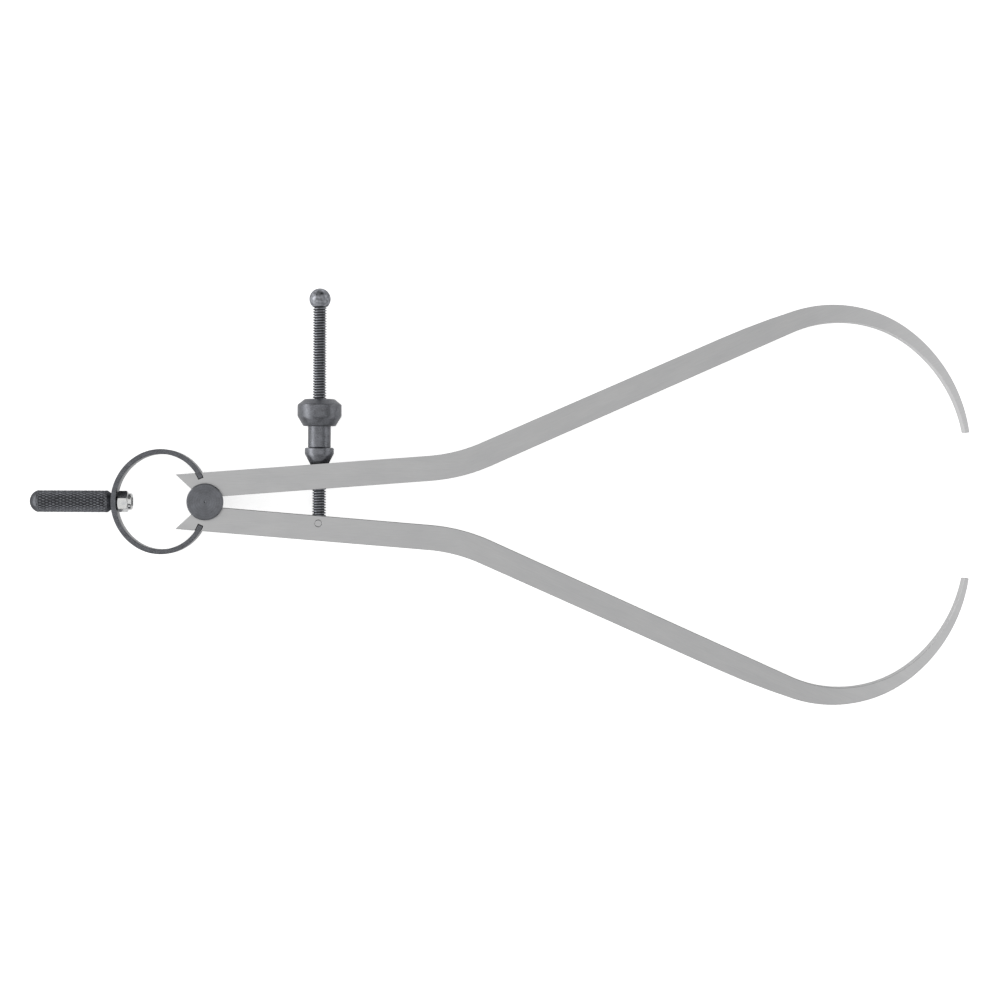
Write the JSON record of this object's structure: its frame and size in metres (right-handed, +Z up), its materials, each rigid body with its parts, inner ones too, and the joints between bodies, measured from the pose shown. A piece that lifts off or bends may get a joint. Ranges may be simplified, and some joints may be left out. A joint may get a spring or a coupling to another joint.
{
  "type": "outside spring caliper",
  "caption": "Outside spring caliper with hooked flat legs on a flanged fulcrum roll, a bow spring, a knurled handle and a screw with a turned adjusting nut.",
  "frame": {"origin": "on the fulcrum axis, in the plane of the lower flange's outer face", "axes": "+X to the tips, +Y to the adjusting nut, +Z up through the legs' thickness"},
  "size_m": [0.2467, 0.1088, 0.0116],
  "materials": {
    "steel": "fine ground",
    "oxide": "blue-black oxide",
    "zinc": "bright zinc plate"
  },
  "bodies": {
    "bow": {"bow_spring": "oxide", "fulcrum": "oxide", "handle": "oxide", "handle_nut": "zinc"},
    "upper_leg": {"upper_leg": "steel"},
    "lower_leg": {"lower_leg": "steel", "screw_pin": "steel"},
    "screw": {"adjusting_screw": "oxide", "stop_ball": "oxide"},
    "seat": {"nut_seat": "oxide"},
    "nut": {"adjusting_nut": "oxide"}
  },
  "joints": [
    {"name": "upper_leg_swing", "type": "hinge", "parent": "bow", "child": "upper_leg", "pos_m": [0, 0, 0.00455], "axis": [0, 0, 1], "range_deg": [-5.3, 24], "deforming": ["bow_spring"]},
    {"name": "lower_leg_swing", "type": "hinge", "parent": "bow", "child": "lower_leg", "pos_m": [0, 0, 0.00455], "axis": [0, 0, 1], "range_deg": [-24, 5.3], "deforming": ["bow_spring"]},
    {"name": "screw_swing", "type": "hinge", "parent": "lower_leg", "child": "screw", "pos_m": [0.0297, -0.0055, 0.00455], "axis": [0, 0, 1], "range_deg": [-5.3, 24]},
    {"name": "seat_rock", "type": "hinge", "parent": "upper_leg", "child": "seat", "pos_m": [0.0297, 0.0055, 0.00455], "axis": [0, 0, 1], "range_deg": [-24, 5.3]},
    {"name": "nut_turn", "type": "hinge", "parent": "seat", "child": "nut", "pos_m": [0.0297, 0.02, 0.00455], "axis": [0, 1, 0], "range_deg": [-2672, 12103]}
  ],
  "couplings": [
    {"joint": "upper_leg_swing", "follows": "nut_turn", "ratio": 0.0019822},
    {"joint": "lower_leg_swing", "follows": "nut_turn", "ratio": -0.0019822},
    {"joint": "screw_swing", "follows": "nut_turn", "ratio": 0.0019822},
    {"joint": "seat_rock", "follows": "nut_turn", "ratio": -0.0019822}
  ]
}
